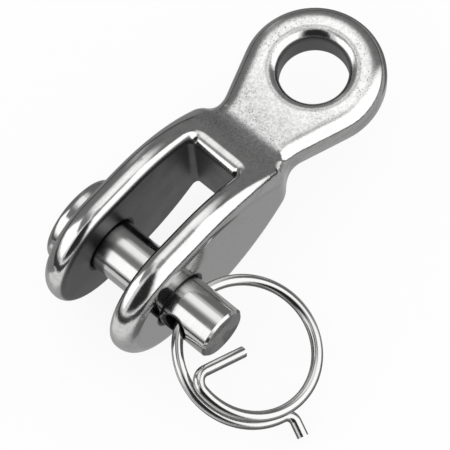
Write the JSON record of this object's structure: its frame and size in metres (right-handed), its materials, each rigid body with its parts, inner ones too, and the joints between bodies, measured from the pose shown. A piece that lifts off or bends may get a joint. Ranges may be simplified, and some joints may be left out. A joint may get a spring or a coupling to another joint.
{
  "type": "rigging toggle",
  "caption": "Stainless steel rigging toggle: a cast fork and round eye with a domed clevis pin across the jaw and a split ring that keeps the pin in",
  "frame": {"origin": "centre of the eye's bore, half-way through the eye's thickness", "axes": "+Z along the eye's bore; +X from the fork to the eye, along the toggle's length, so the jaw opens toward -X; +Y along the clevis pin toward its head"},
  "size_m": [0.0584, 0.0448, 0.0212],
  "materials": {
    "cast_steel": "polished by hand over a cast skin, the eye's flat face more satin",
    "turned_steel": "turned and polished",
    "spring_wire": "bright drawn wire"
  },
  "bodies": {
    "fork": {"toggle_body": "cast_steel"},
    "pin": {"clevis_pin": "turned_steel"},
    "ring": {"split_ring": "spring_wire"}
  },
  "joints": [
    {"name": "pin_turn", "type": "hinge", "parent": "fork", "child": "pin", "pos_m": [-0.0375, 0, 0], "axis": [0, 1, 0], "continuous": true},
    {"name": "ring_swing", "type": "hinge", "parent": "pin", "child": "ring", "pos_m": [-0.0375, -0.01085, 0], "axis": [0.9903, 0, -0.1392], "range_deg": [-106, 69]}
  ]
}
